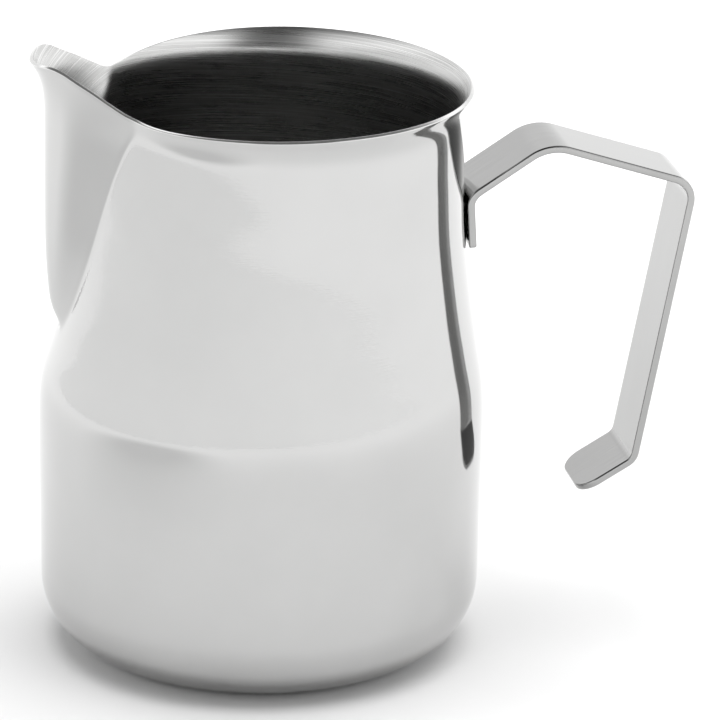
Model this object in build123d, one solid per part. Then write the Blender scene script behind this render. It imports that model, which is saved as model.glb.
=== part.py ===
"""Milk frothing pitcher: a drawn steel cup with a pressed spout and a spot-welded strap handle.

Millimetres, +Z up. The origin is the centre of the standing ring, on the axis of the round
lower part of the cup. The handle points along +X and the spout along -X, and the pitcher is
the same on both sides of the XZ plane.
"""
from build123d import *
from math import cos, hypot, pi, sin
import os

# Sheet and base
WALL = 0.8
BASE_CORNER_RADIUS = 13.5
BASE_PANEL_RADIUS = 25.0
BASE_PANEL_RECESS = 1.0
BASE_PANEL_SLOPE = 1.2

# The cup's outline at each height is two half ellipses that share one half width. Each row is
# height, reach towards the handle, half width, reach towards the front (without the spout),
# and how far behind the axis the two halves meet.
CUP_STATIONS = (
    (0.0, 43.45, 43.4, 43.4, 0.0),
    (18.0, 43.7, 43.7, 43.6, 0.0),
    (46.0, 44.05, 44.0, 44.0, 0.0),
    (54.0, 43.7, 43.7, 43.5, 0.0),
    (62.0, 42.45, 42.4, 41.2, 0.2),
    (72.0, 41.0, 40.9, 38.8, 0.6),
    (86.0, 39.55, 39.2, 36.2, 1.4),
    (98.0, 39.1, 38.5, 34.2, 2.2),
    (104.0, 38.95, 38.3, 33.1, 2.8),
    (109.8, 38.85, 38.2, 32.2, 3.0),
    (111.3, 39.15, 38.5, 32.2, 3.0),
    (112.7, 39.8, 39.1, 32.4, 3.2),
    (114.6, 41.0, 40.2, 33.0, 3.2),
    (124.0, 46.6, 45.8, 36.0, 3.2),
)
CUP_OUTLINE_POINTS = 24

# The spout's outline at each height is a parabola, or a hyperbola where it opens more. Each row
# is height, reach of its nose from the axis, radius of the nose, opening of the hyperbola.
SPOUT_STATIONS = (
    (61.0, 37.2, 3.0, 0.0),
    (67.0, 40.1, 3.0, 0.0),
    (71.0, 41.8, 3.6, 0.0),
    (76.0, 42.5, 4.8, 0.0),
    (84.0, 42.95, 6.3, 0.0),
    (96.0, 43.05, 7.6, 0.0),
    (107.0, 43.05, 9.2, 0.0),
    (113.0, 43.2, 10.7, 0.1),
    (117.0, 44.0, 11.2, 0.15),
    (120.5, 45.95, 10.6, 0.15),
    (124.0, 49.2, 9.2, 0.15),
)
SPOUT_ROOT_REACH = 20.0
SPOUT_OUTLINE_POINTS = 15
CREASE_RADIUS = 0.8

# The sheet is modelled up to here and then trimmed to the rim
STOCK_TOP = 124.0
LOFT_SPACING = 3.0

# Height of the rim, from in front of the spout's tip to behind the handle side
RIM_PATH = (
    (-50.5, 118.5),
    (-48.0, 119.6),
    (-45.8, 120.6),
    (-43.4, 121.5),
    (-41.0, 120.7),
    (-38.5, 119.1),
    (-36.0, 117.75),
    (-31.0, 114.7),
    (-28.5, 113.4),
    (-25.0, 113.1),
    (-20.0, 113.35),
    (-12.0, 113.75),
    (8.0, 114.3),
    (24.0, 114.4),
    (48.0, 114.35),
)
RIM_ROUNDING = 0.2

# Strap handle: a flat bar whose centreline lies in the XZ plane
STRAP_THICKNESS = 1.5
STRAP_WIDTH = 16.6
STRAP_EDGE_ROUNDING = 0.35
TAB_BOTTOM = 81.5
TAB_TOP = 92.0
TAB_CLEARANCE = 0.05
BROW = (55.3, 102.0)
CORNER = (84.8, 92.8)
HEEL = (74.5, 35.6)
TOE = (63.5, 29.1)
BEND_RADII = (3.0, 9.0, 4.5, 3.2)
TOE_CORNER_RADIUS = 4.5
TAB_CORNER_RADIUS = 0.6
LENGTH_TOLERANCE = 0.01

# Spot welds that join the strap's tab to the cup
NUGGET_DIAMETER = 4.0
NUGGET_HEIGHTS = {"lower": 84.6, "upper": 88.8}
NUGGET_DEPTH_IN_WALL = 0.4
NUGGET_DEPTH_IN_TAB = 0.8
ELECTRODE_MARK_DIAMETER = 3.8
ELECTRODE_MARK_DEPTH = 0.12


def smooth_value(stations, height, column):
    """Value of one column at a height, on a smooth cubic curve through the stations."""
    last = len(stations) - 1

    def slope(index):
        before = stations[max(index - 1, 0)]
        after = stations[min(index + 1, last)]
        return (after[column] - before[column]) / (after[0] - before[0])

    index = 0
    while index < last - 1 and stations[index + 1][0] < height:
        index += 1
    start = stations[index]
    end = stations[index + 1]
    span = end[0] - start[0]
    t = (height - start[0]) / span
    return (
        (2 * t**3 - 3 * t**2 + 1) * start[column]
        + (t**3 - 2 * t**2 + t) * span * slope(index)
        + (3 * t**2 - 2 * t**3) * end[column]
        + (t**3 - t**2) * span * slope(index + 1)
    )


def wall_reach(height):
    """Distance from the axis to the outside of the wall on the handle side."""
    return smooth_value(CUP_STATIONS, height, 1)


def even_steps(start, end, spacing):
    """Values from start to end in equal steps, so that a loft through them doesn't ripple."""
    count = round((end - start) / spacing)
    return [start + (end - start) * step / count for step in range(count + 1)]


def cup_section(height, inset):
    """Closed outline of the cup at one height, moved inwards by the inset."""
    station = max(height, BASE_CORNER_RADIUS)
    back, side, front, widest = (
        smooth_value(CUP_STATIONS, station, column) for column in (1, 2, 3, 4)
    )
    points = []
    for step in range(CUP_OUTLINE_POINTS):
        angle = 2 * pi * step / CUP_OUTLINE_POINTS
        reach = back - widest if cos(angle) > 0 else front + widest
        along = widest + (reach - inset) * cos(angle)
        points.append((along, (side - inset) * sin(angle), height))
    return make_face(Spline(*points, periodic=True))


def spout_section(height, inset):
    """Outline of the spout at one height: a conic closed by a straight line inside the cup."""
    reach, nose_radius, opening = (
        smooth_value(SPOUT_STATIONS, height, column) for column in (1, 2, 3)
    )
    length = reach - SPOUT_ROOT_REACH
    half_width = (2 * nose_radius * length + opening * length**2) ** 0.5
    points = []
    for step in range(SPOUT_OUTLINE_POINTS):
        across = half_width * (2 * step / (SPOUT_OUTLINE_POINTS - 1) - 1)
        behind_nose = across**2 / (nose_radius + (nose_radius**2 + opening * across**2) ** 0.5)
        slope = across / (nose_radius + opening * behind_nose)
        to_normal = inset / hypot(1, slope)
        points.append((behind_nose - reach + to_normal, across - slope * to_normal, height))
    return make_face([Spline(*points), Line(points[-1], points[0])])


def base_panel(radius, bottom):
    """Flat-topped cone that lifts the middle of the base clear of the work surface."""
    cone = Cone(radius + BASE_PANEL_SLOPE, radius, BASE_PANEL_RECESS)
    return Pos(0, 0, bottom + BASE_PANEL_RECESS / 2) * cone


def cup_sections(inset):
    """Outlines of the cup, evenly spaced round the base corner and then up the wall."""
    radius = BASE_CORNER_RADIUS - inset
    sections = []
    for angle in even_steps(0, pi / 2, LOFT_SPACING / BASE_CORNER_RADIUS)[:-1]:
        height = BASE_CORNER_RADIUS - radius * cos(angle)
        sections.append(cup_section(height, inset + radius * (1 - sin(angle))))
    for height in even_steps(BASE_CORNER_RADIUS, STOCK_TOP, LOFT_SPACING):
        sections.append(cup_section(height, inset))
    return sections


def cup_solid(inset):
    """Cup and spout as one block: the outside of the sheet, or with an inset the space inside."""
    spout_heights = even_steps(SPOUT_STATIONS[0][0], STOCK_TOP, LOFT_SPACING)
    spout = loft([spout_section(height, inset) for height in spout_heights])
    return loft(cup_sections(inset)) + spout


def soften_crease(block):
    """Round the crease along which the spout grows out of the cup."""
    crease = []
    for edge in block.edges():
        box = edge.bounding_box()
        starts_at_notch = SPOUT_STATIONS[0][0] < box.min.Z < STOCK_TOP - LOFT_SPACING
        if starts_at_notch and box.max.Z > STOCK_TOP - LOFT_SPACING:
            crease.append(edge)
    return fillet(crease, CREASE_RADIUS)


def above_rim():
    """Everything above the rim, which dips beside the spout and rises along its lips."""
    rim = Spline(*[(along, 0, height) for along, height in RIM_PATH])
    front, back = rim @ 0, rim @ 1
    over = Polyline(back, (back.X, 0, STOCK_TOP + 1), (front.X, 0, STOCK_TOP + 1), front)
    half_depth = CUP_STATIONS[-1][2] + 1
    return extrude(make_face([rim, over]), half_depth, dir=(0, 1, 0), both=True)


def round_rim(shell):
    """Break the sharp edges that trimming leaves on both sides of the sheet."""
    lowest = min(height for along, height in RIM_PATH)
    rim_edges = []
    for edge in shell.edges():
        if edge.bounding_box().min.Z > lowest - 1:
            rim_edges.append(edge)
    return fillet(rim_edges, RIM_ROUNDING)


def make_body_shell(nuggets):
    outside = soften_crease(cup_solid(0)) - base_panel(BASE_PANEL_RADIUS, 0)
    inside = cup_solid(WALL) - base_panel(BASE_PANEL_RADIUS, WALL)
    shell = round_rim(outside - inside - above_rim())
    for nugget in nuggets.values():
        shell -= nugget
    return shell


def tab_normal():
    """Direction out of the tab's face, square to the wall that it lies against."""
    rise = TAB_TOP - TAB_BOTTOM
    narrowing = wall_reach(TAB_BOTTOM) - wall_reach(TAB_TOP)
    return Vector(rise, 0, narrowing).normalized()


def tab_point(height, depth):
    """Point of the tab at a height, at a depth from the face that meets the wall."""
    share = (height - TAB_BOTTOM) / (TAB_TOP - TAB_BOTTOM)
    bottom, top = wall_reach(TAB_BOTTOM), wall_reach(TAB_TOP)
    face = Vector(bottom + share * (top - bottom) + TAB_CLEARANCE, 0, height)
    return face + tab_normal() * depth


def along_tab_normal(diameter, start, length):
    """Round pin that starts at a point of the tab and runs square out of it."""
    disc = Plane(origin=start, z_dir=tab_normal()) * Circle(diameter / 2)
    return extrude(disc, length)


def make_nuggets():
    nuggets = {}
    for name, height in NUGGET_HEIGHTS.items():
        start = tab_point(height, -NUGGET_DEPTH_IN_WALL)
        length = NUGGET_DEPTH_IN_WALL + NUGGET_DEPTH_IN_TAB
        nuggets["weld_nugget_" + name] = along_tab_normal(NUGGET_DIAMETER, start, length)
    return nuggets


def strap_side_view():
    """The bent bar seen along Y, in the XZ plane."""
    tab = [tab_point(height, STRAP_THICKNESS / 2) for height in (TAB_BOTTOM, TAB_TOP)]
    corners = [(point.X, point.Z) for point in tab] + [BROW, CORNER, HEEL, TOE]
    path = FilletPolyline(*corners, radius=BEND_RADII)
    return Plane.XZ * trace(path, STRAP_THICKNESS)


def edges_other_than(solid, lengths):
    """Edges of a solid whose length is none of the given ones."""
    kept = []
    for edge in solid.edges():
        if all(abs(edge.length - length) > LENGTH_TOLERANCE for length in lengths):
            kept.append(edge)
    return kept


def round_corners(strap):
    """Round the toe's corners in plan, and just break the corners at the end of the tab."""
    for end, radius in ((slice(0, 2), TOE_CORNER_RADIUS), (slice(-2, None), TAB_CORNER_RADIUS)):
        corners = strap.edges().filter_by(
            lambda edge: abs(edge.length - STRAP_THICKNESS) < LENGTH_TOLERANCE
        )
        strap = fillet(corners.sort_by(Axis.Z)[end], radius)
    return strap


def make_handle_strap(nuggets):
    strap = round_corners(extrude(strap_side_view(), STRAP_WIDTH / 2, both=True))
    strap = fillet(edges_other_than(strap, (STRAP_WIDTH, STRAP_THICKNESS)), STRAP_EDGE_ROUNDING)
    for nugget in nuggets.values():
        strap -= nugget
    for height in NUGGET_HEIGHTS.values():
        start = tab_point(height, STRAP_THICKNESS - ELECTRODE_MARK_DEPTH)
        strap -= along_tab_normal(ELECTRODE_MARK_DIAMETER, start, STRAP_THICKNESS)
    return strap


nuggets = make_nuggets()
nodes = {
    "body_shell": make_body_shell(nuggets),
    "handle_strap": make_handle_strap(nuggets),
    **nuggets,
}
os.makedirs("parts", exist_ok=True)
for name, solid in nodes.items():
    export_step(solid, f"parts/{name}.step")
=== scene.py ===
"""Looks of the milk frothing pitcher: a mirror polished steel cup and its polished strap handle.

The part's frame is used throughout: +Z up, the handle along +X and the spout along -X.
Shapes are worked out in millimetres and turned into metres when a mesh is made.
"""
from math import cos, pi, radians, sin

import bpy
import numpy as np
from mathutils import Matrix, Vector


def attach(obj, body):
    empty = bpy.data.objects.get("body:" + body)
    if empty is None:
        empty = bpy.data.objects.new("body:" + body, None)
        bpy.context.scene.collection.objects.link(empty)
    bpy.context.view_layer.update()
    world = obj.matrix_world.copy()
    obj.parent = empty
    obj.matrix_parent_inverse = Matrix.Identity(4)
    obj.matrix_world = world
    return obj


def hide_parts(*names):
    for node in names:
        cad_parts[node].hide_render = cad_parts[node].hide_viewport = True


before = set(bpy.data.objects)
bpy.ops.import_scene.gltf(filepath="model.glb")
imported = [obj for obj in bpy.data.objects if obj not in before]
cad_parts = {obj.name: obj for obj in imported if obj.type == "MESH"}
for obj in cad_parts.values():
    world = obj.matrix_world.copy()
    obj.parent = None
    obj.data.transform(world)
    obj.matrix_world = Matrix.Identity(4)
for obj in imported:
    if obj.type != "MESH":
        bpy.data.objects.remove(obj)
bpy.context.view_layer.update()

MM = 0.001
MM_PER_METRE = 1000.0

# Sheet and base, in millimetres. The base panel is pressed up inside a sloping step
WALL = 0.8
BASE_CORNER_RADIUS = 13.5
BASE_PANEL_RADIUS = 25.0
BASE_PANEL_RECESS = 1.0
BASE_PANEL_SLOPE = 1.2
BASE_PANEL_BLEND = 0.5

# Height, reach towards the handle, half width, reach towards the front without the spout, and
# place along X where the outline is widest
CUP_STATIONS = (
    (0.0, 43.45, 43.4, 43.4, 0.0),
    (18.0, 43.7, 43.7, 43.6, 0.0),
    (46.0, 44.05, 44.0, 44.0, 0.0),
    (54.0, 43.7, 43.7, 43.5, 0.0),
    (62.0, 42.45, 42.4, 41.2, 0.2),
    (72.0, 41.0, 40.9, 38.8, 0.6),
    (86.0, 39.55, 39.2, 36.2, 1.4),
    (98.0, 39.1, 38.5, 34.2, 2.2),
    (104.0, 38.95, 38.3, 33.1, 2.8),
    (109.8, 38.85, 38.2, 32.2, 3.0),
    (111.3, 39.15, 38.5, 32.2, 3.0),
    (112.7, 39.8, 39.1, 32.4, 3.2),
    (114.6, 41.0, 40.2, 33.0, 3.2),
    (124.0, 46.6, 45.8, 36.0, 3.2),
)

# Height, reach of the spout's nose from the axis, radius of the nose, how much it opens behind it
SPOUT_STATIONS = (
    (61.0, 37.2, 3.0, 0.0),
    (67.0, 40.1, 3.0, 0.0),
    (71.0, 41.8, 3.6, 0.0),
    (76.0, 42.5, 4.8, 0.0),
    (84.0, 42.95, 6.3, 0.0),
    (96.0, 43.05, 7.6, 0.0),
    (107.0, 43.05, 9.2, 0.0),
    (113.0, 43.2, 10.7, 0.1),
    (117.0, 44.0, 11.2, 0.15),
    (120.5, 45.85, 10.6, 0.15),
    (124.0, 49.2, 9.2, 0.15),
)

# Stretch either side of the widest place, over which the outline passes from its front half to its
# back half
HALVES_BLEND = 14.0

# Both keep the spout's conic from dividing by nothing where there is no spout
LEAST_NOSE_REACH = 0.1
TINY = 1e-9

# The crease between the cup and the spout, and the heights over which the spout comes out of the cup
CREASE_WIDTH = 1.3
CREASE_BOTTOM = 60.0
CREASE_SMOOTHING = 2.0
CREASE_SAMPLES = 721
CREASE_TABLE_FROM, CREASE_TABLE_TO = -2.0, 130.0
SPOUT_FADE_FROM = 58.0
SPOUT_FADE_LENGTH = 4.0

# Height of the rim, from in front of the spout's tip to behind the handle side
RIM_PATH = (
    (-50.5, 118.5),
    (-48.0, 119.6),
    (-45.8, 120.6),
    (-43.4, 121.28),
    (-41.0, 120.6),
    (-38.5, 119.1),
    (-36.0, 117.75),
    (-31.0, 114.7),
    (-28.5, 113.4),
    (-25.0, 113.1),
    (-20.0, 113.35),
    (-12.0, 113.75),
    (8.0, 114.3),
    (24.0, 114.4),
    (48.0, 114.35),
)
RIM_ROUNDING = 0.16
RIM_SEARCH_FROM, RIM_SEARCH_TO, RIM_SEARCH_STEP = 104.0, 124.0, 0.1

# How finely the curves above are tabulated, and how much their joins are evened out
TABLE_STEP = 0.25
TABLE_MARGIN = 12.0
SMOOTHING_REACH = 4
STATION_SMOOTHING = 0.9
RIM_SMOOTHING = 0.8

# Mesh of the cup: columns from the handle side to the spout, crowded close to the crease
HALF_COLUMNS = 150
CREASE_COLUMN_GAIN = 5.0
CREASE_COLUMN_SPREAD = 0.11
COLUMN_HALVINGS = 44
WALL_ROWS = 110
CORNER_ROWS = 26
PANEL_ROWS, SLOPE_ROWS, RING_ROWS = 9, 13, 3
PANEL_FIRST_SHARE = 0.02
RIM_ROWS = 5

# The columns run out from the axis low down, and from a centre nearer the spout higher up
SPOUT_CENTRE = -18.0
CENTRE_SHIFT_FROM = 40.0
CENTRE_SHIFT_TO = 84.0

# Strap handle. Its path is in the XZ plane, from the tab's lower end round to the free toe
STRAP_THICKNESS = 1.5
STRAP_WIDTH = 16.6
STRAP_EDGE_ROUNDING = 0.35
TAB_BOTTOM = 81.5
TAB_TOP = 92.0
TAB_CLEARANCE = 0.05
BROW = (55.3, 102.0)
CORNER = (84.8, 92.8)
HEEL = (74.5, 35.6)
TOE = (63.5, 29.1)
BEND_RADII = (3.0, 9.0, 4.5, 3.2)
TOE_CORNER_RADIUS = 4.5
TAB_CORNER_RADIUS = 0.6

# The tab is dished crosswise to fit the cup, and is flat again this far from its lower end
TAB_WRAP_RADIUS = 100.0
TAB_WRAP_END = 12.0
TAB_WRAP_FADE = 4.0

# Shallow round marks that the two spot welds leave on the tab
MARK_HEIGHTS = (84.6, 88.8)
MARK_RADIUS = 1.9
MARK_DEPTH = 0.12
MARK_EDGE = 0.25

# Mesh of the strap: columns across it, rows round its edge, and rows along it
STRAP_COLUMNS = 96
STRAP_EDGE_ROWS = 7
STRAP_ROW_STEP = 1.5
TAB_ROW_STEP = 0.16
SMALLEST_ROW_STEP = 0.06
ROW_DIGITS = 3
BEND_POINTS = 26
TOE_CORNER_POINTS = 18
TAB_CORNER_POINTS = 9


# ---------------------------------------------------------------- curves and tables

def hermite(stations, column, at):
    """Cubic curve through the stations, at many positions."""
    x = np.array([row[0] for row in stations])
    y = np.array([row[column] for row in stations])
    last = len(x) - 1
    before = np.maximum(np.arange(last + 1) - 1, 0)
    after = np.minimum(np.arange(last + 1) + 1, last)
    slope = (y[after] - y[before]) / (x[after] - x[before])
    k = np.clip(np.searchsorted(x, at, side="right") - 1, 0, last - 1)
    span = x[k + 1] - x[k]
    t = np.clip((at - x[k]) / span, 0, 1)
    value = (
        (2 * t**3 - 3 * t**2 + 1) * y[k]
        + (t**3 - 2 * t**2 + t) * span * slope[k]
        + (3 * t**2 - 2 * t**3) * y[k + 1]
        + (t**3 - t**2) * span * slope[k + 1]
    )
    under = np.minimum(at - x[0], 0) * slope[0]
    over = np.maximum(at - x[-1], 0) * slope[-1]
    return value + under + over


def smooth(values, width):
    """Gaussian smoothing of a table. Its ends are carried on in a straight line."""
    reach = int(SMOOTHING_REACH * width / TABLE_STEP)
    offsets = np.arange(-reach, reach + 1) * TABLE_STEP
    weights = np.exp(-0.5 * (offsets / width) ** 2)
    weights /= weights.sum()
    steps = np.arange(1, reach + 1)
    head = values[0] - (values[1] - values[0]) * steps[::-1]
    tail = values[-1] + (values[-1] - values[-2]) * steps
    return np.convolve(np.concatenate([head, values, tail]), weights, mode="valid")


class Table:
    """A smooth curve through stations, read off at any position."""

    def __init__(self, stations, column, width):
        low = stations[0][0] - TABLE_MARGIN
        high = stations[-1][0] + TABLE_MARGIN
        self.at = np.arange(low, high, TABLE_STEP)
        self.values = smooth(hermite(stations, column, self.at), width)

    def __call__(self, position):
        return np.interp(position, self.at, self.values)


def ease(t):
    """Smooth step with no jump in slope or bend at either end."""
    t = np.clip(t, 0, 1)
    return t**3 * (10 - 15 * t + 6 * t**2)


cup_back, cup_side, cup_front, cup_widest = (
    Table(CUP_STATIONS, column, STATION_SMOOTHING) for column in (1, 2, 3, 4)
)
nose_reach, nose_radius, nose_opening = (
    Table(SPOUT_STATIONS, column, STATION_SMOOTHING) for column in (1, 2, 3)
)
rim_height = Table(RIM_PATH, 1, RIM_SMOOTHING)


# ---------------------------------------------------------------- the cup's outside

def outline_centre(height):
    """The point on the X axis from which the outline at a height is drawn."""
    share = (height - CENTRE_SHIFT_FROM) / (CENTRE_SHIFT_TO - CENTRE_SHIFT_FROM)
    return SPOUT_CENTRE * ease(share)


def cup_radius(angle, height, centre):
    """Distance from the centre to the cup's wall, the spout left out."""
    side = cup_side(height)
    widest = cup_widest(height)
    start = centre - widest
    found = []
    for reach in (cup_front(height) + widest, cup_back(height) - widest):
        a = (np.cos(angle) / reach) ** 2 + (np.sin(angle) / side) ** 2
        b = 2 * start * np.cos(angle) / reach**2
        c = (start / reach) ** 2 - 1
        found.append((-b + np.sqrt(b * b - 4 * a * c)) / (2 * a))
    across = start + 0.5 * (found[0] + found[1]) * np.cos(angle)
    share = ease((across + HALVES_BLEND) / (2 * HALVES_BLEND))
    return found[0] * (1 - share) + found[1] * share


def spout_radius(angle, height, centre):
    """Distance from the centre to the spout's wall, which is a conic at each height."""
    ahead = np.maximum(nose_reach(height) + centre, LEAST_NOSE_REACH)
    radius, opening = nose_radius(height), nose_opening(height)
    along = np.minimum(np.cos(angle), 0)
    a = np.sin(angle) ** 2 - opening * along**2
    b = -along * (radius + opening * ahead)
    c = 2 * radius * ahead + opening * ahead**2
    distance = c / (b + np.sqrt(np.maximum(b * b + a * c, 0)) + TINY)
    return np.where(along < 0, distance, 0.0)


def outer_radius(angle, height, centre):
    """Cup and spout together, with a soft crease between them."""
    cup = cup_radius(angle, height, centre)
    spout = spout_radius(angle, height, centre)
    spout = spout * ease((height - SPOUT_FADE_FROM) / SPOUT_FADE_LENGTH)
    closeness = np.maximum(CREASE_WIDTH - np.abs(cup - spout), 0) / CREASE_WIDTH
    return np.maximum(cup, spout) + closeness**3 * CREASE_WIDTH / 6


def crease_angles(heights):
    """Angle of the crease at each height. Below the spout it is straight ahead."""
    angles = np.linspace(pi / 2, pi, CREASE_SAMPLES)
    found = []
    for height in heights:
        centre = outline_centre(height)
        gap = spout_radius(angles, height, centre) - cup_radius(angles, height, centre)
        inside = np.nonzero(gap > 0)[0]
        found.append(angles[inside[0]] if len(inside) and height > CREASE_BOTTOM else pi)
    return smooth(np.array(found), CREASE_SMOOTHING)


CREASE_HEIGHTS = np.arange(CREASE_TABLE_FROM, CREASE_TABLE_TO, TABLE_STEP)
CREASE_TABLE = crease_angles(CREASE_HEIGHTS)


def column_angle(share, height):
    """Angle of a mesh column from the handle side, with more columns close to the crease."""
    crease = np.interp(height, CREASE_HEIGHTS, CREASE_TABLE)

    def crowding(angle):
        ramp = np.tanh((angle - crease) / CREASE_COLUMN_SPREAD)
        return angle + CREASE_COLUMN_GAIN * CREASE_COLUMN_SPREAD * ramp

    start = crowding(np.zeros_like(height))
    wanted = start + share * (crowding(np.full_like(height, pi)) - start)
    low = np.zeros_like(height)
    high = np.full_like(height, pi)
    for _ in range(COLUMN_HALVINGS):
        middle = 0.5 * (low + high)
        over = crowding(middle) > wanted
        high = np.where(over, middle, high)
        low = np.where(over, low, middle)
    return 0.5 * (low + high)


def wall_point(share, height, inset):
    """Points of the outside on the +Y half, moved towards the centre by the inset."""
    station = np.maximum(height, BASE_CORNER_RADIUS)
    centre = outline_centre(station)
    angle = column_angle(share, station)
    radius = outer_radius(angle, station, centre) - inset
    return np.stack([centre + radius * np.cos(angle), radius * np.sin(angle), height], -1)


def rim_heights(shares):
    """Height at which each mesh column meets the rim."""
    steps = np.arange(RIM_SEARCH_FROM, RIM_SEARCH_TO, RIM_SEARCH_STEP)
    share, height = np.meshgrid(shares, steps, indexing="ij")
    points = wall_point(share, height, 0.0)
    above = height - rim_height(points[..., 0])
    found = []
    for row in above:
        k = int(np.argmax(row > 0))
        step = steps[k] - steps[k - 1]
        found.append(steps[k - 1] - row[k - 1] * step / (row[k] - row[k - 1]))
    return np.array(found)


def half_outside():
    """Rows of points from the middle of the base up to the rim, for the +Y half of the cup."""
    shares = np.linspace(0, 1, HALF_COLUMNS + 1)
    angles = column_angle(shares, np.full_like(shares, BASE_CORNER_RADIUS))
    rows = []
    inner_flat = BASE_PANEL_RADIUS - BASE_PANEL_BLEND
    outer_flat = BASE_PANEL_RADIUS + BASE_PANEL_SLOPE + BASE_PANEL_BLEND
    panel = list(np.linspace(PANEL_FIRST_SHARE, 1, PANEL_ROWS) * inner_flat)
    panel += list(np.linspace(inner_flat, outer_flat, SLOPE_ROWS + 1)[1:])
    ring_end = float(cup_side(BASE_CORNER_RADIUS)) - BASE_CORNER_RADIUS
    panel += list(np.linspace(outer_flat, ring_end, RING_ROWS + 2)[1:-1])
    for radius in panel:
        fall = ease((radius - inner_flat) / (outer_flat - inner_flat))
        height = np.full_like(angles, BASE_PANEL_RECESS * (1 - fall))
        rows.append(np.stack([radius * np.cos(angles), radius * np.sin(angles), height], -1))
    for turn in np.linspace(0, pi / 2, CORNER_ROWS)[:-1]:
        height = np.full_like(shares, BASE_CORNER_RADIUS * (1 - cos(turn)))
        rows.append(wall_point(shares, height, BASE_CORNER_RADIUS * (1 - sin(turn))))
    top = rim_heights(shares)
    for step in np.linspace(0, 1, WALL_ROWS):
        height = BASE_CORNER_RADIUS + step * (top - BASE_CORNER_RADIUS)
        rows.append(wall_point(shares, height, 0.0))
    return np.array(rows)


def whole_ring(half):
    """Mirrors rows of the +Y half into closed rings."""
    mirrored = half[:, 1:-1][:, ::-1] * np.array([1, -1, 1])
    return np.concatenate([half, mirrored], axis=1)


def grid_normals(rings):
    """Unit normals of a grid of closed rings, pointing out of the cup."""
    around = np.roll(rings, -1, axis=1) - np.roll(rings, 1, axis=1)
    up = np.gradient(rings, axis=0)
    normal = np.cross(around, up)
    return normal / np.linalg.norm(normal, axis=-1, keepdims=True)


def rim_rings(outer, normal, up):
    """Rings round the trimmed edge of the sheet, from its outside to its inside."""
    turns = np.linspace(0, pi / 2, RIM_ROWS)
    rings = []
    for turn in turns:
        lift = up * RIM_ROUNDING * sin(turn)
        rings.append(outer + lift - normal * RIM_ROUNDING * (1 - cos(turn)))
    for turn in turns:
        depth = WALL - RIM_ROUNDING * (1 - sin(turn))
        rings.append(outer + up * RIM_ROUNDING * cos(turn) - normal * depth)
    return rings


# ---------------------------------------------------------------- meshes

def new_in_scene(name, data):
    """A new object with the data, linked to the scene."""
    thing = bpy.data.objects.new(name, data)
    bpy.context.scene.collection.objects.link(thing)
    return thing


def new_object(name, vertices, faces, materials, face_materials):
    """A smooth shaded mesh object from points in millimetres."""
    mesh = bpy.data.meshes.new(name)
    mesh.from_pydata([tuple(v) for v in np.asarray(vertices) * MM], [], faces)
    for material in materials:
        mesh.materials.append(material)
    mesh.polygons.foreach_set("material_index", face_materials)
    mesh.polygons.foreach_set("use_smooth", [True] * len(mesh.polygons))
    mesh.update()
    return new_in_scene(name, mesh)


def ring_faces(first, second, count):
    """Quads between two closed rings that start at the given vertex numbers."""
    faces = []
    for k in range(count):
        after = (k + 1) % count
        faces.append((first + k, first + after, second + after, second + k))
    return faces


# The cup's materials, in the order in which make_cup takes them
OUTSIDE, EDGE, INSIDE, UNDERSIDE = range(4)


def make_cup(materials):
    """The cup as one closed mesh: underside, outside, rounded rim edge and inside."""
    outside = whole_ring(half_outside())
    normal = grid_normals(outside)
    up = outside[-1] - outside[-2]
    up /= np.linalg.norm(up, axis=-1, keepdims=True)
    outside[-1] -= up * RIM_ROUNDING
    outside[-2] = 0.5 * (outside[-1] + outside[-3])
    normal[-1] = normal[-2] = grid_normals(outside)[-2]
    inside = outside - normal * WALL
    rim = rim_rings(outside[-1], normal[-1], up)
    rings = list(outside) + rim[1:-1] + list(inside[::-1])
    count = len(rings[0])
    under_middle = [[0, 0, BASE_PANEL_RECESS]]
    floor_middle = [[0, 0, BASE_PANEL_RECESS + WALL]]
    vertices = np.concatenate([under_middle, *rings, floor_middle])
    faces, kinds = [], []
    for k in range(count):
        faces.append((0, 1 + (k + 1) % count, 1 + k))
        kinds.append(UNDERSIDE)
    underside_end = PANEL_ROWS + SLOPE_ROWS + RING_ROWS
    outside_end = len(outside) - 1
    edge_end = outside_end + len(rim[1:-1])
    for row in range(len(rings) - 1):
        first = 1 + row * count
        strip = ring_faces(first, first + count, count)
        if row < underside_end:
            kind = UNDERSIDE
        elif row < outside_end:
            kind = OUTSIDE
        elif row < edge_end:
            kind = EDGE
        else:
            kind = INSIDE
        faces += strip
        kinds += [kind] * len(strip)
    last = 1 + (len(rings) - 1) * count
    for k in range(count):
        faces.append((last + k, last + (k + 1) % count, len(vertices) - 1))
        kinds.append(INSIDE)
    return new_object("polished_cup_body", vertices, faces, materials, kinds)


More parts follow.
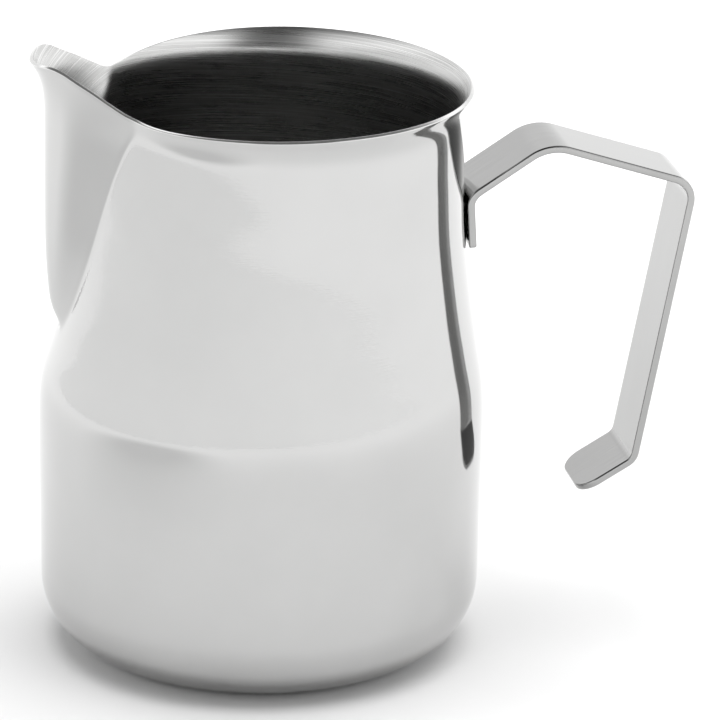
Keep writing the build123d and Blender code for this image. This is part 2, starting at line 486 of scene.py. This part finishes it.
def strap_path():
    """Centreline of the strap in the XZ plane, as points and the length along it to each."""
    rise = TAB_TOP - TAB_BOTTOM
    low, high = float(cup_back(TAB_BOTTOM)), float(cup_back(TAB_TOP))
    normal = np.array([rise, low - high])
    normal /= np.linalg.norm(normal)
    shift = normal * STRAP_THICKNESS / 2 + np.array([TAB_CLEARANCE, 0])
    corners = [np.array([low, TAB_BOTTOM]) + shift, np.array([high, TAB_TOP]) + shift]
    corners += [np.array(point) for point in (BROW, CORNER, HEEL, TOE)]
    points = [corners[0]]
    for k, radius in enumerate(BEND_RADII):
        before, here, after = corners[k : k + 3]
        u = (before - here) / np.linalg.norm(before - here)
        v = (after - here) / np.linalg.norm(after - here)
        half_angle = 0.5 * np.arccos(np.clip(u @ v, -1, 1))
        middle = here + (u + v) / np.linalg.norm(u + v) * radius / sin(half_angle)
        start = here + u * radius / np.tan(half_angle)
        end = here + v * radius / np.tan(half_angle)
        first = np.arctan2(*(start - middle)[::-1])
        turn = (np.arctan2(*(end - middle)[::-1]) - first + pi) % (2 * pi) - pi
        for share in np.linspace(0, 1, BEND_POINTS):
            angle = first + share * turn
            points.append(middle + radius * np.array([cos(angle), sin(angle)]))
    points.append(corners[-1])
    points = np.array(points)
    lengths = np.concatenate([[0], np.cumsum(np.linalg.norm(np.diff(points, axis=0), axis=1))])
    return points, lengths


def strap_stations(lengths, total):
    """Places along the strap where the mesh has a row: every bend, the marks and both ends."""
    fine_tab = np.arange(TAB_CORNER_RADIUS, TAB_TOP - TAB_BOTTOM, TAB_ROW_STEP)
    coarse = np.arange(TAB_CORNER_RADIUS, total - TOE_CORNER_RADIUS, STRAP_ROW_STEP)
    stations = np.concatenate([fine_tab, lengths[1:-1], coarse])
    stations = stations[(stations >= TAB_CORNER_RADIUS) & (stations <= total - TOE_CORNER_RADIUS)]
    stations = np.unique(np.round(stations, ROW_DIGITS))
    keep = np.concatenate([[True], np.diff(stations) > SMALLEST_ROW_STEP])
    return stations[keep]


def strap_half_outline(stations, total, inset):
    """Half outline of the strap laid flat: places along it and half widths."""
    half = STRAP_WIDTH / 2

    def corner(radius, count):
        turns = np.linspace(0, pi / 2, count)
        along = radius - (radius - inset) * np.cos(turns)
        across = half - radius + (radius - inset) * np.sin(turns)
        return along, across

    tab_along, tab_across = corner(TAB_CORNER_RADIUS, TAB_CORNER_POINTS)
    toe_along, toe_across = corner(TOE_CORNER_RADIUS, TOE_CORNER_POINTS)
    sides = stations[1:-1]
    along = np.concatenate([tab_along, sides, total - toe_along[::-1]])
    across = np.concatenate([tab_across, np.full(len(sides), half - inset), toe_across[::-1]])
    return along, across


def make_strap(materials):
    """The strap as one closed mesh: two faces and an edge band that shares their border rows."""
    points, lengths = strap_path()
    total = lengths[-1]
    stations = strap_stations(lengths, total)
    rounding = STRAP_EDGE_ROUNDING
    flat = STRAP_THICKNESS / 2 - rounding
    turns = np.linspace(pi / 2, 0, STRAP_EDGE_ROWS)
    rings = [(rounding * (1 - cos(turn)), flat + rounding * sin(turn)) for turn in turns]
    rings += [(inset, -height) for inset, height in rings[::-1]]
    tangents = np.gradient(points, axis=0)
    tangents /= np.linalg.norm(tangents, axis=1, keepdims=True)

    def place(along, across, height):
        """Bends a flat point onto the path. Height is towards the outside of the loop."""
        x = np.interp(along, lengths, points[:, 0])
        z = np.interp(along, lengths, points[:, 1])
        tx = np.interp(along, lengths, tangents[:, 0])
        tz = np.interp(along, lengths, tangents[:, 1])
        size = np.hypot(tx, tz)
        bent = 1 - ease((along - TAB_WRAP_END + TAB_WRAP_FADE) / TAB_WRAP_FADE)
        x = x - bent * across**2 / (2 * TAB_WRAP_RADIUS)
        return np.stack([x + height * -tz / size, across, z + height * tx / size], -1)

    vertices, faces = [], []

    def add(block):
        """Adds a row of points and returns their numbers."""
        start = len(vertices)
        vertices.extend(block)
        return list(range(start, len(vertices)))

    def join(first, second, flip):
        """Quads between two rows of points."""
        for k in range(len(first) - 1):
            quad = (first[k], first[k + 1], second[k + 1], second[k])
            faces.append(quad[::-1] if flip else quad)

    shares = np.linspace(-1, 1, STRAP_COLUMNS + 1)
    borders = []
    for inset, height in rings:
        along, across = strap_half_outline(stations, total, inset)
        near = add(place(along, -across, height))
        far = add(place(along, across, height))
        ends = []
        for k in (0, -1):
            between = place(np.full(STRAP_COLUMNS - 1, along[k]), across[k] * shares[1:-1], height)
            ends.append([near[k], *add(between), far[k]])
        borders.append((near, far, *ends))
    for first, second in zip(borders, borders[1:]):
        for a, b, flip in zip(first, second, (True, False, False, True)):
            join(a, b, flip)
    for ring, flip in ((0, False), (-1, True)):
        inset, height = rings[ring]
        near, far, tab_end, toe_end = borders[ring]
        along, across = strap_half_outline(stations, total, inset)
        along, across = along[1:-1], across[1:-1]
        lines = [near]
        for column in range(1, STRAP_COLUMNS):
            y = across * shares[column]
            depth = np.full_like(along, height)
            if flip:
                for mark in MARK_HEIGHTS:
                    distance = np.hypot(along - (mark - TAB_BOTTOM), y)
                    rise = ease((distance - MARK_RADIUS + MARK_EDGE) / (2 * MARK_EDGE))
                    depth += MARK_DEPTH * (1 - rise)
            lines.append([tab_end[column], *add(place(along, y, depth)), toe_end[column]])
        lines.append(far)
        for a, b in zip(lines, lines[1:]):
            join(a, b, flip)
    return new_object("polished_strap_handle", vertices, faces, materials, [0] * len(faces))


# ---------------------------------------------------------------- materials

class Nodes:
    """Short way to write a node tree."""

    def __init__(self, tree):
        self.tree = tree

    def feed(self, socket, value):
        """Links an output to the socket, or sets the socket to a constant."""
        if isinstance(value, bpy.types.NodeSocket):
            self.tree.links.new(value, socket)
        else:
            socket.default_value = value

    def add(self, kind, settings=None, **inputs):
        """A new node. An input is given by its name, or by an underscore and its number."""
        node = self.tree.nodes.new(kind)
        for name, value in (settings or {}).items():
            setattr(node, name, value)
        for name, value in inputs.items():
            key = int(name[1:]) if name[0] == "_" else name.replace("_", " ")
            self.feed(node.inputs[key], value)
        return node

    def operate(self, kind, operation, values):
        """A new node that works on the values in order."""
        node = self.add(kind, {"operation": operation})
        for socket, value in zip(node.inputs, values):
            self.feed(socket, value)
        return node

    def math(self, operation, *values):
        return self.operate("ShaderNodeMath", operation, values).outputs[0]

    def measure(self, operation, *vectors):
        """Length of a vector, or distance between two."""
        return self.operate("ShaderNodeVectorMath", operation, vectors).outputs["Value"]

    def place(self):
        """Place on the object in metres."""
        return self.add("ShaderNodeTexCoord").outputs["Object"]

    def stretched(self, vector, x, y, z):
        return self.add("ShaderNodeMapping", Vector=vector, Scale=(x, y, z)).outputs[0]

    def millimetres(self, vector):
        return self.stretched(vector, MM_PER_METRE, MM_PER_METRE, MM_PER_METRE)

    def pair(self, first, first_scale, second, second_scale):
        """Two values, each with its own scale, as a vector for a noise."""
        x = self.math("MULTIPLY", first, first_scale)
        y = self.math("MULTIPLY", second, second_scale)
        return self.add("ShaderNodeCombineXYZ", X=x, Y=y, Z=0.0).outputs[0]

    def noise(self, vector, scale, detail=2.0, roughness=0.5):
        inputs = {"Vector": vector, "Scale": scale, "Detail": detail, "Roughness": roughness}
        return self.add("ShaderNodeTexNoise", **inputs).outputs["Fac"]

    def spread(self, value, low, high, from_low=0.3, from_high=0.7):
        """Carries a range of the value over to low and high. The default is a noise's usual range."""
        inputs = {"_0": value, "_1": from_low, "_2": from_high, "_3": low, "_4": high}
        return self.add("ShaderNodeMapRange", **inputs).outputs[0]

    def soft_step(self, value, start, end):
        """Smooth passage from 0 at the start to 1 at the end."""
        settings = {"interpolation_type": "SMOOTHSTEP"}
        return self.add("ShaderNodeMapRange", settings, _0=value, _1=start, _2=end).outputs[0]

    def tone(self, factor, first, second):
        """Colour between two others, each a colour or an output."""
        node = self.add("ShaderNodeMix", {"data_type": "RGBA"})
        for index, value in ((0, factor), (6, first), (7, second)):
            self.feed(node.inputs[index], value)
        return node.outputs[2]


# Each surface's colour varies between a darker and a lighter tone
MIRROR_TONES = (0.510, 0.510, 0.507, 1), (0.530, 0.530, 0.527, 1)
# The satin's lighter tone is partly the scratches' own tone and partly painted glints
SATIN_AND_GLINT_TONES = (0.44, 0.44, 0.435, 1), (0.78, 0.78, 0.775, 1)
# The rim edge is coloured brighter than the outside steel: a painted highlight
EDGE_HIGHLIGHT_TONES = (0.62, 0.62, 0.615, 1), (0.68, 0.68, 0.675, 1)
UNDERSIDE_TONES = (0.52, 0.52, 0.515, 1), (0.60, 0.60, 0.595, 1)
# The strap's tones are darker than the cup's polished steel: painted shade
STRAP_SHADED_TONES = (0.36, 0.36, 0.357, 1), (0.40, 0.40, 0.397, 1)
WELD_TONES = (0.30, 0.29, 0.28, 1), (0.45, 0.44, 0.42, 1)
SATIN_ANISOTROPY = 0.6
STRAP_LINE_SCALES = (60, 4000, 60)


def steel(name, build):
    """A new steel material. build gets the tree helper and the metal shader."""
    material = bpy.data.materials.new(name)
    material.use_nodes = True
    tree = material.node_tree
    tree.nodes.clear()
    nodes = Nodes(tree)
    shader = nodes.add("ShaderNodeBsdfPrincipled", Metallic=1.0)
    output = nodes.add("ShaderNodeOutputMaterial")
    tree.links.new(shader.outputs[0], output.inputs[0])
    build(nodes, shader)
    return material


def ring_coordinates(nodes, place):
    """Angle, distance from the axis and height in millimetres, for marks that run round the cup."""
    x, y, z = nodes.add("ShaderNodeSeparateXYZ", Vector=place).outputs
    angle = nodes.math("ARCTAN2", y, x)
    squares = nodes.math("ADD", nodes.math("MULTIPLY", x, x), nodes.math("MULTIPLY", y, y))
    reach = nodes.math("MULTIPLY", nodes.math("SQRT", squares), MM_PER_METRE)
    height = nodes.math("MULTIPLY", z, MM_PER_METRE)
    return angle, reach, height


def dress(nodes, shader, rough, shade, tones):
    """Gives a shader its roughness, and its colour between two tones."""
    nodes.feed(shader.inputs["Roughness"], rough)
    nodes.feed(shader.inputs["Base Color"], nodes.tone(shade, *tones))


def emboss(nodes, shader, pattern, strength, depth):
    """Gives a shader a bump. The depth is in metres."""
    bump = nodes.add("ShaderNodeBump", Strength=strength, Distance=depth, Height=pattern)
    nodes.feed(shader.inputs["Normal"], bump.outputs[0])


def build_mirror(nodes, shader):
    """Mirror polished outside, with a faint haze and faint polishing rings."""
    place = nodes.place()
    angle, _, height = ring_coordinates(nodes, place)
    haze = nodes.noise(nodes.millimetres(place), scale=0.045, detail=4.0, roughness=0.6)
    polish = nodes.noise(nodes.pair(angle, 3.0, height, 5.0), scale=1.0, detail=3.0, roughness=0.6)
    rough = nodes.math("ADD", nodes.spread(haze, 0.035, 0.075), nodes.spread(polish, 0.0, 0.02))
    dress(nodes, shader, rough, nodes.spread(haze, 0, 1), MIRROR_TONES)
    emboss(nodes, shader, polish, strength=0.02, depth=0.0001)


def build_satin(nodes, shader):
    """Turned inside face: fine scratches that run round the cup, their lighter streaks partly their
    own tone and partly painted glints, and a few long bright arcs painted in as glints.
    """
    angle, reach, height = ring_coordinates(nodes, nodes.place())
    across = nodes.math("ADD", reach, height)
    scratches = nodes.noise(nodes.pair(angle, 2.0, across, 4.2), scale=1.0, detail=4.0, roughness=0.6)
    bands = nodes.noise(nodes.pair(angle, 2.0, across, 0.35), scale=1.0, detail=3.0, roughness=0.6)
    glint_arcs = nodes.noise(nodes.pair(angle, 0.9, across, 4.0), scale=1.0, detail=1.0)
    rough = nodes.math("ADD", nodes.spread(bands, 0.25, 0.31), nodes.spread(scratches, -0.03, 0.03))
    shade = nodes.math("ADD", nodes.spread(scratches, 0.0, 0.6), nodes.spread(bands, 0.0, 0.2))
    # Painted glints: rare long arcs lift the colour towards the lighter tone, in place of highlights
    painted_glints = nodes.spread(glint_arcs, 0.0, 1.2, from_low=0.60, from_high=0.70)
    dress(nodes, shader, rough, nodes.math("ADD", shade, painted_glints), SATIN_AND_GLINT_TONES)
    emboss(nodes, shader, scratches, strength=0.04, depth=0.00003)
    shader.inputs["Anisotropic"].default_value = SATIN_ANISOTROPY
    tangent = nodes.add("ShaderNodeTangent", {"direction_type": "RADIAL", "axis": "Z"})
    nodes.feed(shader.inputs["Tangent"], tangent.outputs[0])


def build_edge(nodes, shader):
    """Rounded edge of the rim, coloured brighter than the outside steel of the same sheet as a
    painted highlight.
    """
    marks = nodes.noise(nodes.millimetres(nodes.place()), scale=0.5, detail=3.0)
    dress(nodes, shader, nodes.spread(marks, 0.08, 0.16), nodes.spread(marks, 0, 1), EDGE_HIGHLIGHT_TONES)


def build_underside(nodes, shader):
    """Turned underside, scuffed by use."""
    place = nodes.place()
    angle, reach, _ = ring_coordinates(nodes, place)
    turned = nodes.noise(nodes.pair(angle, 1.5, reach, 4.0), scale=1.0, detail=4.0, roughness=0.6)
    scuffs = nodes.noise(nodes.millimetres(place), scale=0.2, detail=5.0, roughness=0.7)
    rough = nodes.math("ADD", nodes.spread(turned, 0.18, 0.28), nodes.spread(scuffs, 0.0, 0.12))
    dress(nodes, shader, rough, nodes.spread(scuffs, 0, 1), UNDERSIDE_TONES)
    emboss(nodes, shader, turned, strength=0.4, depth=0.00004)


def build_strap(nodes, shader):
    """Polished strap, with fine lines along its length, its steel toned darker than the cup's as
    painted shade.
    """
    place = nodes.place()
    stretched = nodes.stretched(place, *STRAP_LINE_SCALES)
    lines = nodes.noise(stretched, scale=1.0, detail=3.0, roughness=0.6)
    haze = nodes.noise(nodes.millimetres(place), scale=0.09, detail=4.0, roughness=0.6)
    rough = nodes.math("ADD", nodes.spread(haze, 0.07, 0.12), nodes.spread(lines, 0.0, 0.03))
    dress(nodes, shader, rough, nodes.spread(lines, 0, 1), STRAP_SHADED_TONES)
    emboss(nodes, shader, lines, strength=0.06, depth=0.00003)


def build_weld(nodes, shader):
    """Dull, rippled weld metal."""
    ripple = nodes.noise(nodes.millimetres(nodes.place()), scale=1.4, detail=4.0, roughness=0.6)
    dress(nodes, shader, nodes.spread(ripple, 0.3, 0.5), nodes.spread(ripple, 0, 1), WELD_TONES)
    emboss(nodes, shader, ripple, strength=0.5, depth=0.0001)


def build_floor(material):
    """Pale paper with painted shade: a little darker close to the pitcher and in a patch beside the
    spout, which darkens what the steel mirrors.
    """
    material.use_nodes = True
    tree = material.node_tree
    nodes = Nodes(tree)
    shader = tree.nodes["Principled BSDF"]
    place = nodes.place()
    paper = nodes.noise(place, scale=400.0, detail=3.0)
    nodes.feed(shader.inputs["Roughness"], nodes.spread(paper, 0.85, 0.95))
    far = nodes.soft_step(nodes.measure("LENGTH", place), FLOOR_NEAR, FLOOR_FAR)
    apart = nodes.measure("DISTANCE", place, SHADE_PATCH)
    in_shade_patch = nodes.soft_step(apart, SHADE_PATCH_END, SHADE_PATCH_FULL)
    # Painted shade: darker paper near the pitcher and in the patch beside the spout
    near_shade_tone, far_tone, patch_shade_tone = ((value, value, value, 1) for value in FLOOR_AND_SHADE_TONES)
    colour = nodes.tone(in_shade_patch, nodes.tone(far, near_shade_tone, far_tone), patch_shade_tone)
    nodes.feed(shader.inputs["Base Color"], colour)
    shader.inputs["Specular IOR Level"].default_value = 0.0


# ---------------------------------------------------------------- studio

# Camera: turn about Z, tilt up from straight down and roll in degrees, place in metres, and lens and
# sensor in millimetres
CAMERA_AZIMUTH = 11.148
CAMERA_PLACE = (-0.1683, -0.9547, 0.3988)
CAMERA_TILT = 70.62
CAMERA_ROLL = 1.056
CAMERA_LENS = 260.0
CAMERA_SENSOR = 36.0
CAMERA_CLIP_END = 20.0

# Floor, in metres. Its tones are close to the pitcher, far from it, and in the patch beside the
# spout; the first and the last are painted shade
FLOOR_RADIUS = 0.62
FLOOR_CORNERS = 128
FLOOR_DROP = 0.0002
FLOOR_NEAR, FLOOR_FAR = 0.10, 0.42
FLOOR_AND_SHADE_TONES = (0.82, 0.95, 0.66)
# Patch of painted shade on the floor beside the spout, mirrored in the steel
SHADE_PATCH = (-0.27, -0.13, 0.0)
SHADE_PATCH_FULL, SHADE_PATCH_END = 0.06, 0.22

# Brightness of the surroundings against the sine of the elevation
SKY_STRENGTH = 2.0
SKY = (
    (0.0, 1.32),
    (0.12, 1.30),
    (0.20, 1.18),
    (0.29, 1.10),
    (0.36, 1.10),
    (0.47, 1.60),
    (0.60, 1.00),
    (0.74, 0.32),
    (1.0, 0.22),
)

# Share by which the surroundings are brighter towards +X and darker towards -X
SIDE_SLOPE = 0.06

# Dark gap in the surroundings in front, a little above the horizon: X of its middle, half width in
# radians, and the heights of its soft lower edge
GAP_DIRECTION = -0.12
GAP_HALF_WIDTH = 0.50
GAP_SOFTNESS = 0.07
GAP_DARKNESS = 0.93
GAP_FROM, GAP_FULL = 0.09, 0.17

SOFTBOX_PLACE = (0.3, 0.0, 3.0)
SOFTBOX_SIDE = 3.0
SOFTBOX_POWER = 108.0


def make_camera():
    """The camera, in front of the pitcher and a little towards the spout."""
    data = bpy.data.cameras.new("camera")
    data.sensor_width = CAMERA_SENSOR
    data.lens = CAMERA_LENS
    data.clip_end = CAMERA_CLIP_END
    camera = new_in_scene("camera", data)
    turn = Matrix.Rotation(radians(-CAMERA_AZIMUTH), 4, "Z")
    tilt = Matrix.Rotation(radians(CAMERA_TILT), 4, "X")
    roll = Matrix.Rotation(radians(CAMERA_ROLL), 4, "Z")
    camera.matrix_world = Matrix.Translation(CAMERA_PLACE) @ turn @ tilt @ roll
    bpy.context.scene.camera = camera


def make_floor():
    """A round sheet of paper just under the pitcher."""
    turns = [2 * pi * k / FLOOR_CORNERS for k in range(FLOOR_CORNERS)]
    ring = [(FLOOR_RADIUS * cos(turn), FLOOR_RADIUS * sin(turn), 0) for turn in turns]
    mesh = bpy.data.meshes.new("studio_floor")
    mesh.from_pydata(ring, [], [tuple(range(FLOOR_CORNERS))])
    material = bpy.data.materials.new("pale_floor")
    build_floor(material)
    mesh.materials.append(material)
    floor = new_in_scene("studio_floor", mesh)
    floor.location.z = -FLOOR_DROP


def make_world():
    """The surroundings that light the steel: a pale sky with a dark gap in front."""
    world = bpy.data.worlds.new("studio")
    bpy.context.scene.world = world
    world.use_nodes = True
    tree = world.node_tree
    tree.nodes.clear()
    nodes = Nodes(tree)
    direction = nodes.add("ShaderNodeTexCoord").outputs["Generated"]
    x, y, height = nodes.add("ShaderNodeSeparateXYZ", Vector=direction).outputs
    ramp = nodes.add("ShaderNodeFloatCurve", Factor=1.0, Value=height)
    ramp.mapping.use_clip = False
    points = ramp.mapping.curves[0].points
    while len(points) < len(SKY):
        points.new(0.5, 0.5)
    for point, (position, value) in zip(points, SKY):
        point.location = (position, value / SKY_STRENGTH)
    ramp.mapping.update()
    aside = nodes.math("SUBTRACT", x, GAP_DIRECTION)
    azimuth = nodes.math("ARCTAN2", aside, nodes.math("MULTIPLY", y, -1.0))
    edges = GAP_HALF_WIDTH - GAP_SOFTNESS, GAP_HALF_WIDTH + GAP_SOFTNESS
    nearness = nodes.spread(nodes.math("ABSOLUTE", azimuth), 1.0, 0.0, *edges)
    raised = nodes.spread(height, 0.0, 1.0, GAP_FROM, GAP_FULL)
    gap = nodes.math("MULTIPLY", nodes.math("MULTIPLY", nearness, raised), GAP_DARKNESS)
    sideways = nodes.math("ADD", 1.0, nodes.math("MULTIPLY", x, SIDE_SLOPE))
    sky = nodes.math("MULTIPLY", ramp.outputs[0], sideways)
    light = nodes.math("MULTIPLY", sky, nodes.math("SUBTRACT", 1.0, gap))
    background = nodes.add("ShaderNodeBackground", Color=light, Strength=SKY_STRENGTH)
    output = nodes.add("ShaderNodeOutputWorld")
    tree.links.new(background.outputs[0], output.inputs[0])


def make_softbox():
    """A wide light high overhead, which lights the floor and doesn't show in the steel."""
    data = bpy.data.lights.new("overhead_softbox", "AREA")
    data.shape = "SQUARE"
    data.size = SOFTBOX_SIDE
    data.energy = SOFTBOX_POWER
    light = new_in_scene("overhead_softbox", data)
    light.location = SOFTBOX_PLACE
    light.rotation_euler = (-Vector(SOFTBOX_PLACE)).to_track_quat("-Z", "Y").to_euler()
    light.visible_glossy = False


# ---------------------------------------------------------------- build

cup = make_cup([
    steel("mirror_polished_steel", build_mirror),
    steel("rounded_edge_steel", build_edge),
    steel("satin_inside_steel", build_satin),
    steel("turned_base_steel", build_underside),
])
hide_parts("body_shell")
strap = make_strap([steel("polished_strap_steel", build_strap)])
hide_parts("handle_strap")
for piece in (cup, strap):
    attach(piece, "root")
weld = steel("fused_weld_steel", build_weld)
for node in ("weld_nugget_lower", "weld_nugget_upper"):
    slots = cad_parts[node].data.materials
    slots.clear()
    slots.append(weld)

make_floor()
make_world()
make_softbox()
make_camera()
bpy.context.scene.view_settings.view_transform = "Standard"
